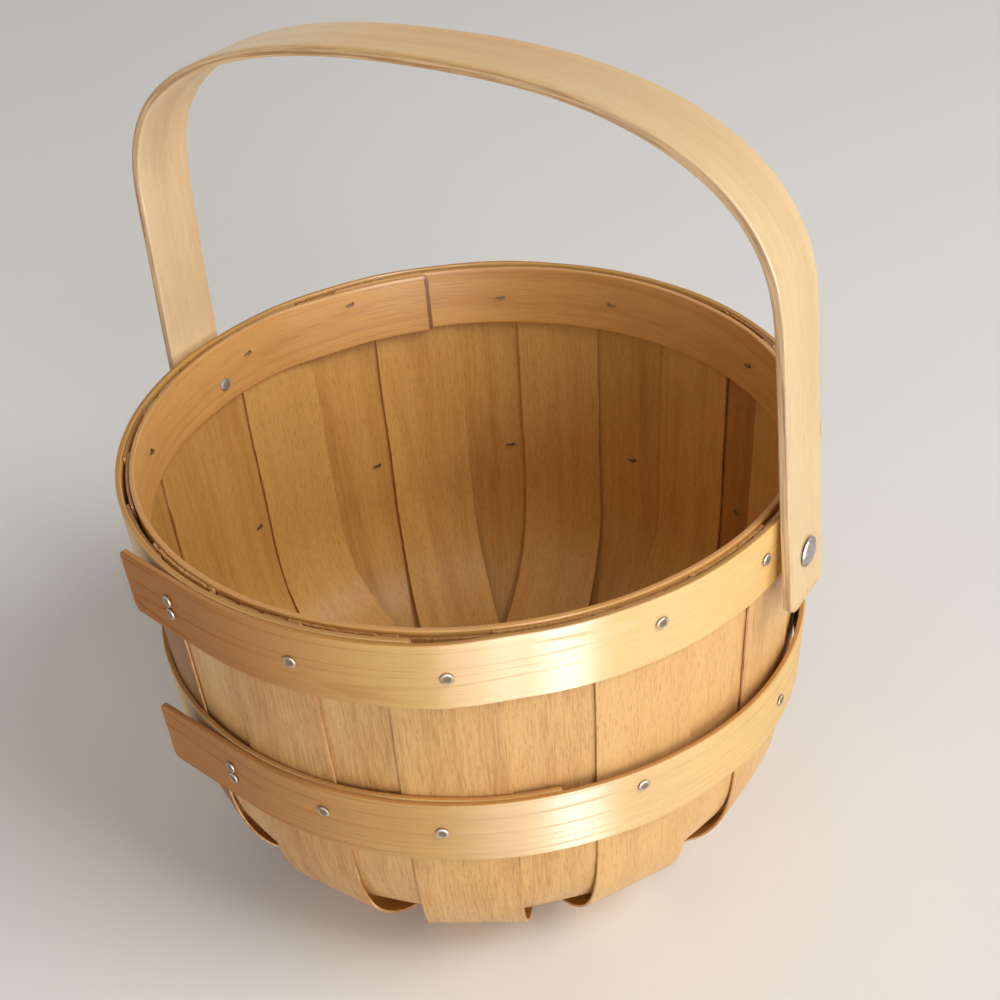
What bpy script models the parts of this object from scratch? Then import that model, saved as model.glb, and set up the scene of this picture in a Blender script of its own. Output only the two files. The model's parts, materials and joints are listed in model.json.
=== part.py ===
# Round splint basket with a swing handle, in metres, +Z up.
# The origin is in the middle of the underside, on the level that the basket stands on.
# The handle turns about a line along X, through its two rivets.

import math

import bmesh
import bpy
from mathutils import Matrix, Vector

# Wall and rim
RIM_RADIUS = 0.140
RIM_HEIGHT = 0.192
WALL_TAPER = 0.038
LAYER_GAP = 0.0003
STACK_GAP = 0.00045

# Veneer strips, which cross under the bottom and run up the wall on both sides
STRIPS_PER_LAYER = 6
STRIP_WIDTH = 0.040
STRIP_THICKNESS = 0.0011
BEND_TOP = 0.078
BEND_REACH = 0.078
BEND_EXPONENT = 2.5
FLATTENED_AT = math.radians(42)
RIM_INSET = 0.0012
RIM_RAGGEDNESS = 0.0014
RAGGED_TURN = 2.4
FIRST_OUTER_HEADING = 119.5
FIRST_INNER_HEADING = 134.5

# How far each hand laid strip is turned, in degrees, and shifted sideways, in laying order
OUTER_LAY = ((-0.4, 0.0010), (0.1, -0.0020), (0.1, 0.0013), (0.0, -0.0025), (0.0, 0.0020), (1.0, 0.0))
INNER_LAY = ((0.2, 0.0), (0.2, 0.0), (1.3, 0.0012), (-1.5, -0.0020), (2.0, 0.0), (0.5, 0.0))

# Hoops: the band starts against the strips, goes round clockwise and ends over its own start.
# The lower one also stands off the strips by its slack while it climbs.
HOOP_THICKNESS = 0.0022
TOP_HOOP_WIDTH = 0.029
INNER_HOOP_WIDTH = 0.029
LOWER_HOOP_WIDTH = 0.030
LOWER_HOOP_DROP = 0.077
TOP_HOOP_START = -64.7
LOWER_HOOP_START = -45.0
INNER_HOOP_START = 151.0
TOP_HOOP_END = -116.0
LOWER_HOOP_END = -117.0
INNER_HOOP_END = 131.0
TOP_FREE_ANGLE = 15.5
LOWER_FREE_ANGLE = 18.5
OVERLAP_RAMP = 14.0
LOWER_OVERLAP_RAMP = 78.0
LOWER_HOOP_SLACK = 0.0022
OVERLAP_CLEARANCE = 1.5
HOOP_CORNER = 0.0025

# Handle: a flat bent strap, upright, hung on a rivet at each side, more loosely on the left
HANDLE_WIDTH = 0.030
HANDLE_THICKNESS = 0.004
HANDLE_STANDOFF = 0.0022
HANDLE_LEFT_STANDOFF = 0.0055
HANDLE_RISE = 0.170
HANDLE_SHOULDER = 0.089
HANDLE_DRAW_IN = 0.069
HANDLE_LEFT_DRAW_IN = 0.034
HANDLE_TAIL = 0.020
HANDLE_EXPONENT_ACROSS = 2.38
HANDLE_EXPONENT_UP = 2.70
HANDLE_CORNER = 0.0035
HANDLE_EDGE_ROUND = 0.0006
PIVOT_DROP = 0.0193

# Rivets
RIVET_HEAD_RADIUS = 0.0059
RIVET_HEAD_HEIGHT = 0.0016
RIVET_SHANK_RADIUS = 0.0020
RIVET_CLENCH_RADIUS = 0.0030
RIVET_CLENCH_HEIGHT = 0.0008

# Tacks
TACK_HEAD_RADIUS = 0.0025
TACK_HEAD_HEIGHT = 0.0008
TACK_SHANK_RADIUS = 0.0006
TACK_CLINCH_RADIUS = 0.0011
TACK_TIP_LENGTH = 0.0032
TACK_PAIR_SPACING = 0.0058
TACK_TO_HANDLE = 0.0020
TACK_TO_EDGE = 0.0014
TOP_PAIR_AT = -106.0
LOWER_PAIR_AT = -101.5

# Place of each tack, for the outer arms counted anticlockwise from the one beside the right hand rivet:
# where it lies in the gap that the inner arms leave, from -1 to 1 or past it, and how far above mid hoop
TOP_TACKS = ((-0.34, 0.002), (0.0, 0.0), (-0.85, -0.001), (0.6, 0.0), (-0.7, -0.001), (-0.45, 0.0075),
             (-0.2, 0.003), (-0.35, 0.002), None, (1.28, 0.0005), (0.0, 0.0), (0.1, 0.003))
LOWER_TACKS = ((-0.3, -0.001), (0.0, -0.004), (0.1, -0.0065), (-0.12, -0.0075), (-0.68, -0.0075), (-0.68, -0.0085),
               (-0.65, -0.0095), (0.0, -0.004), None, (1.28, 0.003), (-0.6, 0.001), (-0.44, 0.0075))

# Outlines of the heads, from the crown to the underside, as shares of head radius and height
TACK_CROWN = ((0.65, 0.8), (1.0, 0.3), (0.9, 0.0))
RIVET_CROWN = ((0.45, 0.9), (0.8, 0.6), (1.0, 0.15), (0.94, 0.0))
RIVET_CLENCH_TAPER = 0.8

# Mesh density
ACROSS_SEGMENTS = 4
FLOOR_SEGMENTS = 1
BEND_SEGMENTS = 8
WALL_SEGMENTS = 1
HOOP_STEP = 6.0
LEG_SEGMENTS = 6
ARCH_SEGMENTS = 14
TACK_SIDES = 8
TANGENT_STEP = 0.01
RIVET_SIDES = 16

LAYER_PITCH = STRIP_THICKNESS + LAYER_GAP
STACK_PITCH = STRIP_THICKNESS + STACK_GAP
HOOP_PITCH = HOOP_THICKNESS + LAYER_GAP
PIVOT_HEIGHT = RIM_HEIGHT - PIVOT_DROP
LAY_PITCH = 180 / STRIPS_PER_LAYER

# Radii of the middle of each layer, measured at the rim
TOP_HOOP_RADIUS = RIM_RADIUS - HOOP_THICKNESS / 2
OUTER_STRIP_RADIUS = RIM_RADIUS - HOOP_PITCH - STRIP_THICKNESS / 2
INNER_STRIP_RADIUS = OUTER_STRIP_RADIUS - LAYER_PITCH
INNER_HOOP_RADIUS = INNER_STRIP_RADIUS - STRIP_THICKNESS / 2 - LAYER_GAP - HOOP_THICKNESS / 2


def clear_scene():
    for old in list(bpy.data.objects):
        bpy.data.objects.remove(old, do_unlink=True)


def new_collection(name):
    collection = bpy.data.collections.new(name)
    bpy.context.scene.collection.children.link(collection)
    return collection


def make_material(name, colour, roughness, metallic=0.0):
    material = bpy.data.materials.new(name)
    material.use_nodes = True
    shader = material.node_tree.nodes["Principled BSDF"]
    shader.inputs["Base Color"].default_value = (*colour, 1.0)
    shader.inputs["Roughness"].default_value = roughness
    shader.inputs["Metallic"].default_value = metallic
    return material


def add_object(name, mesh, material, collection):
    thing = bpy.data.objects.new(name, mesh)
    collection.objects.link(thing)
    if material is not None:
        mesh.materials.append(material)
    return thing


def ease(share):
    """Smooth step from 0 to 1 as share goes from 0 to 1."""
    share = min(max(share, 0.0), 1.0)
    return share * share * (3 - 2 * share)


def wall_radius(rim_radius, height):
    """Radius at a height of the wall surface that has rim_radius at the rim."""
    return rim_radius - WALL_TAPER * (RIM_HEIGHT - height)


def corner_share(angle, exponent_across, exponent_along):
    """Point of a superellipse quarter, as shares of its two half axes."""
    across = max(math.cos(angle), 0.0) ** (2 / exponent_across)
    along = max(math.sin(angle), 0.0) ** (2 / exponent_along)
    return across, along


def blank_mesh(name, long_segments, cross_segments, place, corner=0.0):
    """Bends a flat blank of veneer: place takes the blank's long share and cross share, -1 to 1."""
    shape = bmesh.new()
    bmesh.ops.create_grid(shape, x_segments=long_segments, y_segments=cross_segments, size=1.0)
    corner_points = [vertex for vertex in shape.verts if len(vertex.link_edges) == 2]
    blank = {vertex: (vertex.co.x, vertex.co.y) for vertex in shape.verts}
    for vertex, (along, across) in blank.items():
        vertex.co = place(along, across)
    if corner > 0:
        bmesh.ops.bevel(shape, geom=corner_points, offset=corner, offset_type="OFFSET",
                        segments=2, profile=0.5, affect="VERTICES")
    mesh = bpy.data.meshes.new(name)
    shape.to_mesh(mesh)
    shape.free()
    return mesh


def thicken(thing, thickness):
    """Gives the bent blank its thickness, half on each side."""
    solid = thing.modifiers.new("thickness", "SOLIDIFY")
    solid.thickness = thickness
    solid.offset = 0.0
    solid.use_even_offset = True


def drill(thing, cutters):
    for cutter in cutters:
        hole = thing.modifiers.new("holes for " + cutter.name, "BOOLEAN")
        hole.operation = "DIFFERENCE"
        hole.solver = "EXACT"
        hole.object = cutter


def strip_station(station, floor_level, rim_radius, end_height):
    """Middle line of one arm: distance out, height and cross curvature share at a station."""
    if station <= FLOOR_SEGMENTS:
        reach = wall_radius(rim_radius, floor_level) - BEND_REACH
        return Vector((reach * station / FLOOR_SEGMENTS, floor_level)), 0.0
    if station <= FLOOR_SEGMENTS + BEND_SEGMENTS:
        angle = math.pi / 2 * (1 - (station - FLOOR_SEGMENTS) / BEND_SEGMENTS)
        across, along = corner_share(angle, BEND_EXPONENT, BEND_EXPONENT)
        height = BEND_TOP - (BEND_TOP - floor_level) * along
        distance = wall_radius(rim_radius, height) - BEND_REACH * (1 - across)
        return Vector((distance, height)), 1 - ease(angle / FLATTENED_AT)
    share = (station - FLOOR_SEGMENTS - BEND_SEGMENTS) / WALL_SEGMENTS
    height = BEND_TOP + (end_height - BEND_TOP) * share
    return Vector((wall_radius(rim_radius, height), height)), 1.0


def strip_mesh(name, level, rim_radius, shift, end_heights):
    """One veneer strip from rim to rim: flat across the bottom, hollow across on the wall."""
    arm_stations = FLOOR_SEGMENTS + BEND_SEGMENTS + WALL_SEGMENTS
    floor_level = level * STACK_PITCH + STRIP_THICKNESS / 2

    def place(along, across):
        side = 1 if along >= 0 else -1
        station = round(abs(along) * arm_stations)
        end_height = end_heights[side > 0]
        point, hollow = strip_station(station, floor_level, rim_radius, end_height)
        ahead, _ = strip_station(min(station + TANGENT_STEP, arm_stations), floor_level, rim_radius, end_height)
        behind, _ = strip_station(max(station - TANGENT_STEP, 0), floor_level, rim_radius, end_height)
        course = (ahead - behind).normalized()
        sideways = shift + across * STRIP_WIDTH / 2
        curve_radius = wall_radius(rim_radius, max(point.y, BEND_TOP))
        sag = hollow * (curve_radius - math.sqrt(curve_radius ** 2 - sideways ** 2))
        distance = point.x - sag * course.y
        height = point.y + sag * course.x
        return side * distance, sideways, height

    return blank_mesh(name, 2 * arm_stations, ACROSS_SEGMENTS, place)


def laying_step(order):
    """The strips are laid alternately to one side and the other of the first."""
    return (order + 1) // 2 * (-1 if order % 2 else 1)


def strip_layer(first_heading, lay):
    """Heading, in degrees, and sideways shift of each strip of one layer, in laying order."""
    return [
        (first_heading + LAY_PITCH * laying_step(order) + turn, shift)
        for order, (turn, shift) in enumerate(lay[:STRIPS_PER_LAYER])
    ]


def rim_end(number):
    """Height of a strip's end: the ends stop a little under the hoops' edges, none quite alike."""
    unevenness = math.sin(RAGGED_TURN * number)
    return RIM_HEIGHT - RIM_INSET - RIM_RAGGEDNESS * (1 + unevenness) / 2


def build_strips(material, collection, cutters):
    layers = (
        ("outer_strip", OUTER_STRIP_RADIUS, strip_layer(FIRST_OUTER_HEADING, OUTER_LAY)),
        ("inner_strip", INNER_STRIP_RADIUS, strip_layer(FIRST_INNER_HEADING, INNER_LAY)),
    )
    level = 0
    for layer_name, rim_radius, layer in layers:
        for number, (heading, shift) in enumerate(layer, start=1):
            name = f"{layer_name}_{number}"
            ends = (rim_end(2 * level), rim_end(2 * level + 1))
            strip = add_object(name, strip_mesh(name, level, rim_radius, shift, ends), material, collection)
            strip.rotation_euler.z = math.radians(heading)
            thicken(strip, STRIP_THICKNESS)
            drill(strip, cutters)
            level += 1


def arm_azimuths(first_heading, lay, rim_radius):
    """Azimuth, in degrees, of the middle of each arm of one layer on the wall."""
    arms = []
    for heading, shift in strip_layer(first_heading, lay):
        turn = math.degrees(math.asin(shift / rim_radius))
        arms += [heading + turn, heading + 180 - turn]
    return arms


def outer_arms():
    """Azimuths of the outer arms, anticlockwise from the one beside the right rivet."""
    half_pitch = LAY_PITCH / 2
    arms = arm_azimuths(FIRST_OUTER_HEADING, OUTER_LAY, OUTER_STRIP_RADIUS)
    return sorted((arm + half_pitch) % 360 - half_pitch for arm in arms)


def inner_arms():
    return arm_azimuths(FIRST_INNER_HEADING, INNER_LAY, INNER_STRIP_RADIUS)


def gap_behind(arm):
    """Middle and half width, in degrees, of the room for a tack between the inner arms behind an outer one."""
    above = min((other - arm) % 360 for other in inner_arms())
    below = min((arm - other) % 360 for other in inner_arms())
    half_arm = math.degrees(math.asin((STRIP_WIDTH / 2 + TACK_TO_EDGE) / INNER_STRIP_RADIUS))
    return arm + (above - below) / 2, max((above + below) / 2 - half_arm, 0.0)


class Hoop:
    """A band wound clockwise from its start, over or inside itself for the last stretch."""

    def __init__(self, name, rim_radius, top, width, start, end, step, ramp, free_angle, slack=0.0):
        self.name = name
        self.rim_radius = rim_radius
        self.top = top
        self.width = width
        self.start = start
        self.travel = 360 + (start - end) % 360
        self.step = step
        self.ramp = ramp
        self.free_angle = free_angle
        self.slack = slack

    def radius(self, travelled):
        """Radius, at the rim, of the band's middle once it has gone this many degrees."""
        climb = 1 + (travelled - 360 + OVERLAP_CLEARANCE) / self.ramp
        lifted = self.rim_radius + self.step * ease(climb) + self.slack * ease(1 - abs(2 * climb - 1))
        past = travelled - (self.travel - self.free_angle)
        return lifted / math.cos(math.radians(max(past, 0.0)))

    def azimuth(self, travelled):
        return math.radians(self.start - travelled)

    def outermost(self, azimuth_degrees):
        """Radius, at the rim, of the last turn's middle at an azimuth."""
        travelled = (self.start - azimuth_degrees) % 360
        if travelled + 360 <= self.travel:
            travelled += 360
        return self.radius(travelled)

    def middle(self):
        return self.top - self.width / 2

    def mesh(self):
        segments = math.ceil(self.travel / HOOP_STEP)

        def place(along, across):
            travelled = (along + 1) / 2 * self.travel
            height = self.middle() + across * self.width / 2
            radius = wall_radius(self.radius(travelled), height)
            azimuth = self.azimuth(travelled)
            return radius * math.cos(azimuth), radius * math.sin(azimuth), height

        return blank_mesh(self.name, segments, 1, place, HOOP_CORNER)


def make_hoops():
    top = Hoop("top_hoop", TOP_HOOP_RADIUS, RIM_HEIGHT, TOP_HOOP_WIDTH,
               TOP_HOOP_START, TOP_HOOP_END, HOOP_PITCH, OVERLAP_RAMP, TOP_FREE_ANGLE)
    lower = Hoop("lower_hoop", TOP_HOOP_RADIUS, RIM_HEIGHT - LOWER_HOOP_DROP, LOWER_HOOP_WIDTH,
                 LOWER_HOOP_START, LOWER_HOOP_END, HOOP_PITCH, LOWER_OVERLAP_RAMP, LOWER_FREE_ANGLE,
                 LOWER_HOOP_SLACK)
    inner = Hoop("inner_hoop", INNER_HOOP_RADIUS, RIM_HEIGHT, INNER_HOOP_WIDTH,
                 INNER_HOOP_START, INNER_HOOP_END, -HOOP_PITCH, OVERLAP_RAMP, 0.0)
    return top, lower, inner


def build_hoop(hoop, material, collection, cutters):
    band = add_object(hoop.name, hoop.mesh(), material, collection)
    thicken(band, HOOP_THICKNESS)
    drill(band, cutters)


def head_outline(radius, height, seat, crown):
    """Points of a domed head over its seat, from the middle of the crown to the underside."""
    return [(0.0, seat + height)] + [(radius * across, seat + height * up) for across, up in crown]


def turned_mesh(name, profile, sides):
    """Turns a profile of (radius, height) points, listed from the top down, about the Z axis."""
    shape = bmesh.new()
    points = [shape.verts.new((radius, 0.0, height)) for radius, height in profile]
    for upper, lower in zip(points, points[1:]):
        shape.edges.new((upper, lower))
    outline = bpy.data.meshes.new(name + "_profile")
    shape.to_mesh(outline)
    shape.free()
    turning = bpy.data.objects.new(name + "_turning", outline)
    bpy.context.scene.collection.objects.link(turning)
    screw = turning.modifiers.new("turn", "SCREW")
    screw.steps = sides
    screw.render_steps = sides
    screw.use_merge_vertices = True
    screw.merge_threshold = 0.00001
    screw.use_smooth_shade = True
    graph = bpy.context.evaluated_depsgraph_get()
    mesh = bpy.data.meshes.new_from_object(turning.evaluated_get(graph))
    mesh.name = name
    bpy.data.objects.remove(turning, do_unlink=True)
    bpy.data.meshes.remove(outline)
    return mesh


def radial_matrix(azimuth_degrees, radius, height, lean):
    """Frame whose Z points out of the wall, leaning up by the given slope, and whose X points up it."""
    azimuth = math.radians(azimuth_degrees)
    out = Vector((math.cos(azimuth), math.sin(azimuth), -lean)).normalized()
    along = Vector((-math.sin(azimuth), math.cos(azimuth), 0.0))
    up = out.cross(along)
    frame = Matrix((up, out.cross(up), out)).transposed().to_4x4()
    frame.translation = Vector((math.cos(azimuth) * radius, math.sin(azimuth) * radius, height))
    return frame


def tack_mesh(name, grip):
    """A tack driven from outside: domed head, shank through the layers and a tip bent flat inside."""
    bend_start = -grip - LAYER_GAP
    bend_length = TACK_CLINCH_RADIUS * math.pi / 2
    point_end = bend_start - bend_length - TACK_TIP_LENGTH
    profile = head_outline(TACK_HEAD_RADIUS, TACK_HEAD_HEIGHT, LAYER_GAP, TACK_CROWN) + [
        (TACK_SHANK_RADIUS, LAYER_GAP),
        (TACK_SHANK_RADIUS, bend_start),
        (TACK_SHANK_RADIUS, bend_start - bend_length / 2),
        (TACK_SHANK_RADIUS, bend_start - bend_length),
        (0.0, point_end),
    ]
    mesh = turned_mesh(name, profile, TACK_SIDES)
    for vertex in mesh.vertices:
        beyond = bend_start - vertex.co.z
        if beyond <= 0:
            continue
        angle = min(beyond / TACK_CLINCH_RADIUS, math.pi / 2)
        straight = beyond - angle * TACK_CLINCH_RADIUS
        inside = TACK_CLINCH_RADIUS - vertex.co.x
        vertex.co.x = TACK_CLINCH_RADIUS - inside * math.cos(angle) + straight
        vertex.co.z = bend_start - inside * math.sin(angle)
    return mesh


def inner_arm_covers(azimuth):
    half_arm = math.degrees(math.asin(STRIP_WIDTH / 2 / INNER_STRIP_RADIUS))
    return any(abs((azimuth - arm + 180) % 360 - 180) < half_arm for arm in inner_arms())


def inner_face(azimuth, height, inner_hoop):
    """Radius of the innermost face that a tack comes out of, at an azimuth and height."""
    if height > inner_hoop.top - inner_hoop.width:
        return wall_radius(inner_hoop.outermost(azimuth), height) - HOOP_THICKNESS / 2
    if inner_arm_covers(azimuth):
        return wall_radius(INNER_STRIP_RADIUS, height) - STRIP_THICKNESS / 2
    return wall_radius(OUTER_STRIP_RADIUS, height) - STRIP_THICKNESS / 2


def clear_of_handle(azimuth, hoop):
    """Moves a tack of the top hoop out from behind the handle's legs."""
    if hoop.name != "top_hoop":
        return azimuth
    clear = math.degrees((HANDLE_WIDTH / 2 + TACK_HEAD_RADIUS + TACK_TO_HANDLE) / RIM_RADIUS)
    for leg in (0, 180):
        away = (azimuth - leg + 180) % 360 - 180
        if abs(away) < clear:
            return leg - clear
    return azimuth


def tack_places(hoop, layout, pair_at):
    """Azimuth, height and tip side of each tack of a hoop: one to each outer arm, and a pair at the free end.

    A tip is bent sideways, 1 anticlockwise and -1 clockwise, towards the middle of its gap.
    """
    places = []
    for arm, place in zip(outer_arms(), layout):
        if place is not None:
            middle, room = gap_behind(arm)
            azimuth = clear_of_handle(middle + place[0] * room, hoop)
            places.append((azimuth, hoop.middle() + place[1], 1 if place[0] < 0 else -1))
    half = TACK_PAIR_SPACING / 2
    return places + [(pair_at, hoop.middle() + half, -1), (pair_at, hoop.middle() - half, -1)]


def tack_list(top, lower):
    """Name, hoop, azimuth, height and tip side of every tack."""
    tacks = []
    for hoop, layout, pair_at in ((top, TOP_TACKS, TOP_PAIR_AT), (lower, LOWER_TACKS, LOWER_PAIR_AT)):
        kind = hoop.name.replace("hoop", "tack")
        for number, place in enumerate(tack_places(hoop, layout, pair_at), start=1):
            tacks.append((f"{kind}_{number:02d}", hoop, *place))
    return tacks


def build_tacks(tacks, inner_hoop, material, collection):
    for name, hoop, azimuth, height, tip_side in tacks:
        seat = wall_radius(hoop.outermost(azimuth), height) + HOOP_THICKNESS / 2
        grip = seat - inner_face(azimuth, height, inner_hoop)
        tack = add_object(name, tack_mesh(name, grip), material, collection)
        sideways = Matrix.Rotation(-tip_side * math.pi / 2, 4, "Z")
        tack.matrix_world = radial_matrix(azimuth, seat, height, WALL_TAPER) @ sideways


def pin_cutter(name, pins, collection):
    """Joins straight pins into one cutter. Each pin is (frame, radius, half length, sides)."""
    shape = bmesh.new()
    for frame, radius, half_length, sides in pins:
        bmesh.ops.create_cone(shape, cap_ends=True, segments=sides, radius1=radius, radius2=radius,
                              depth=2 * half_length, matrix=frame)
    mesh = bpy.data.meshes.new(name)
    shape.to_mesh(mesh)
    shape.free()
    cutter = add_object(name, mesh, None, collection)
    cutter.hide_render = True
    cutter.display_type = "WIRE"
    return cutter


def tack_cutter(name, tacks, collection):
    through_all = 4 * HOOP_PITCH + 2 * LAYER_PITCH
    pins = []
    for _, hoop, azimuth, height, _ in tacks:
        middle = wall_radius(OUTER_STRIP_RADIUS, height)
        frame = radial_matrix(azimuth, middle, height, WALL_TAPER)
        pins.append((frame, TACK_SHANK_RADIUS + LAYER_GAP, through_all, TACK_SIDES))
    return pin_cutter(name, pins, collection)


def rivet_frame(side):
    """Frame on the pivot line with Z pointing out through the handle's leg on one side."""
    frame = Matrix.Rotation(side * math.pi / 2, 4, "Y")
    frame.translation = Vector((0.0, 0.0, PIVOT_HEIGHT))
    return frame


def rivet_cutter(collection):
    pins = [
        (rivet_frame(side) @ Matrix.Translation((0.0, 0.0, RIM_RADIUS)),
         RIVET_SHANK_RADIUS + LAYER_GAP, HANDLE_WIDTH, RIVET_SIDES)
        for side in (1, -1)
    ]
    return pin_cutter("rivet_holes", pins, collection)


def leg_face(side):
    """Distance from the middle of the basket to the handle's outer face at the pivot."""
    return RIM_RADIUS + (HANDLE_STANDOFF if side > 0 else HANDLE_LEFT_STANDOFF) + HANDLE_THICKNESS


def leg_draw_in(side):
    """How much a leg comes in for each metre that it rises."""
    return HANDLE_DRAW_IN if side > 0 else HANDLE_LEFT_DRAW_IN


def build_rivets(inner_hoop, material, collection):
    for name, side in (("rivet_right", 1), ("rivet_left", -1)):
        azimuth = 0 if side > 0 else 180
        inside = inner_face(azimuth, PIVOT_HEIGHT, inner_hoop) - LAYER_GAP
        outside = leg_face(side) + leg_draw_in(side) * RIVET_HEAD_RADIUS + LAYER_GAP
        profile = head_outline(RIVET_HEAD_RADIUS, RIVET_HEAD_HEIGHT, outside, RIVET_CROWN) + [
            (RIVET_SHANK_RADIUS, outside),
            (RIVET_SHANK_RADIUS, inside),
            (RIVET_CLENCH_RADIUS, inside),
            (RIVET_CLENCH_RADIUS * RIVET_CLENCH_TAPER, inside - RIVET_CLENCH_HEIGHT),
            (0.0, inside - RIVET_CLENCH_HEIGHT),
        ]
        rivet = add_object(name, turned_mesh(name, profile, RIVET_SIDES), material, collection)
        rivet.matrix_world = rivet_frame(side)


def leg_reach(rise, side):
    """Distance from the middle of the basket to the middle of the strap, at a height above the pivot."""
    return leg_face(side) - HANDLE_THICKNESS / 2 - leg_draw_in(side) * rise


def handle_mesh(name):
    """The bent strap from one lower end over the arch to the other, about the pivot line."""
    stations = LEG_SEGMENTS + ARCH_SEGMENTS
    crown = HANDLE_RISE - HANDLE_THICKNESS / 2

    def place(along, across):
        side = 1 if along >= 0 else -1
        station = round((1 - abs(along)) * stations)
        sideways = across * HANDLE_WIDTH / 2
        if station <= LEG_SEGMENTS:
            rise = -HANDLE_TAIL + (HANDLE_SHOULDER + HANDLE_TAIL) * station / LEG_SEGMENTS
            return side * leg_reach(rise, side), sideways, rise
        angle = math.pi / 2 * (station - LEG_SEGMENTS) / ARCH_SEGMENTS
        inwards, upwards = corner_share(angle, HANDLE_EXPONENT_ACROSS, HANDLE_EXPONENT_UP)
        rise = HANDLE_SHOULDER + (crown - HANDLE_SHOULDER) * upwards
        reach = leg_reach(rise, side) - leg_reach(crown, side) * (1 - inwards)
        return side * reach, sideways, rise

    return blank_mesh(name, 2 * stations, 1, place, HANDLE_CORNER)


def build_handle(material, collection, cutter):
    handle = add_object("handle", handle_mesh("handle"), material, collection)
    handle.location.z = PIVOT_HEIGHT
    thicken(handle, HANDLE_THICKNESS)
    rounding = handle.modifiers.new("rounded edges", "BEVEL")
    rounding.width = HANDLE_EDGE_ROUND
    rounding.segments = 1
    rounding.limit_method = "ANGLE"
    rounding.angle_limit = math.radians(60)
    drill(handle, [cutter])


def main():
    clear_scene()
    parts = new_collection("round_basket")
    cutters = new_collection("cutters")
    strip_wood = make_material("strip_wood", (0.70, 0.43, 0.17), 0.45)
    hoop_wood = make_material("hoop_wood", (0.74, 0.49, 0.20), 0.35)
    handle_wood = make_material("handle_wood", (0.80, 0.60, 0.33), 0.45)
    steel = make_material("steel", (0.42, 0.41, 0.40), 0.35, 1.0)

    top, lower, inner = make_hoops()
    tacks = tack_list(top, lower)
    tack_holes = tack_cutter("tack_holes", tacks, cutters)
    rivet_holes = rivet_cutter(cutters)
    build_strips(strip_wood, parts, [tack_holes, rivet_holes])
    for hoop in (top, lower, inner):
        build_hoop(hoop, hoop_wood, parts, [tack_holes, rivet_holes])
    build_tacks(tacks, inner, steel, parts)
    build_rivets(inner, steel, parts)
    build_handle(handle_wood, parts, rivet_holes)


main()
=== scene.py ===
"""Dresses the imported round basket: varnished veneer strips, hoops, tacks, rivets and a bent wood handle."""

import json
import logging
import math
from dataclasses import dataclass, field
from enum import Enum
from typing import Callable, Sequence

import bpy
import numpy as np
from mathutils import Matrix, Vector


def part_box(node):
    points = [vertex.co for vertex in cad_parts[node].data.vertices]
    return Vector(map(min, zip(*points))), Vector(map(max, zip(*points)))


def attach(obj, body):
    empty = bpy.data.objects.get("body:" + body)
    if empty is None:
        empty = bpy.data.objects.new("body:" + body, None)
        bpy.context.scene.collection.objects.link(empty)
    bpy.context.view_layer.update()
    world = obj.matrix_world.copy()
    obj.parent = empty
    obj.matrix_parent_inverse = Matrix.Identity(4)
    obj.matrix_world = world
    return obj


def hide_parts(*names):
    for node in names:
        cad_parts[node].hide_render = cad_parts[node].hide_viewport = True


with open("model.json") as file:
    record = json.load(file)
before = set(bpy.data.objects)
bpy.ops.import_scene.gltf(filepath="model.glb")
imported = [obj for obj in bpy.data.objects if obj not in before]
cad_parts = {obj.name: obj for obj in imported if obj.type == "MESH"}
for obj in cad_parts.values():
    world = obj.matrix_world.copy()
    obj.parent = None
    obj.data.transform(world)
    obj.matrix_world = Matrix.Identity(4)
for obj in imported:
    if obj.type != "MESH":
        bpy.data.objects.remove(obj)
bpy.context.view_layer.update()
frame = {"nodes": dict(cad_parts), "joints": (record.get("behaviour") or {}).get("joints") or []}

LOG = logging.getLogger("basket")

Rgb = tuple[float, float, float]
Middle = Callable[[np.ndarray, np.ndarray], np.ndarray]


def srgb(red: int, green: int, blue: int) -> Rgb:
    """Turns a colour as seen on a screen, 0 to 255, into linear light.

    Args:
        red: Red as seen.
        green: Green as seen.
        blue: Blue as seen.

    Returns:
        The three shares of linear light.
    """
    seen = np.array([red, green, blue]) / 255
    linear = np.where(seen <= 0.04045, seen / 12.92, ((seen + 0.055) / 1.055) ** 2.4)
    return tuple(float(share) for share in linear)


def ease(share: np.ndarray) -> np.ndarray:
    """Smooth step: 3 x squared minus 2 x cubed, held at 0 and 1 outside."""
    held = np.clip(share, 0.0, 1.0)
    return held * held * (3 - 2 * held)


def superellipse(angle: np.ndarray, first: float, second: float) -> tuple[np.ndarray, np.ndarray]:
    """Quarter of a superellipse: the angle's cosine and sine, each to the power 2 over its exponent."""
    return np.maximum(np.cos(angle), 0.0) ** (2 / first), np.maximum(np.sin(angle), 0.0) ** (2 / second)


@dataclass(frozen=True)
class Ripple:
    """Seeded smooth unevenness: a sum of sines, one for each wavelength, in random directions."""

    seed: int
    wavelengths: tuple[float, ...]

    def at(self, *axes: np.ndarray) -> np.ndarray:
        """Height of the unevenness, within 1 of zero, at the given coordinates in metres.

        Args:
            *axes: One array for each coordinate, of shapes that go together.

        Returns:
            The mean of the sines of distance along each random direction over its wavelength.
        """
        chance = np.random.default_rng(self.seed)
        total = np.zeros(np.broadcast_shapes(*(np.shape(axis) for axis in axes)))
        for wavelength in self.wavelengths:
            direction = chance.normal(size=len(axes))
            direction /= np.linalg.norm(direction)
            travelled = sum(share * axis for share, axis in zip(direction, axes))
            total += np.sin(2 * np.pi * travelled / wavelength + chance.uniform(0, 2 * np.pi))
        return total / len(self.wavelengths)


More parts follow.
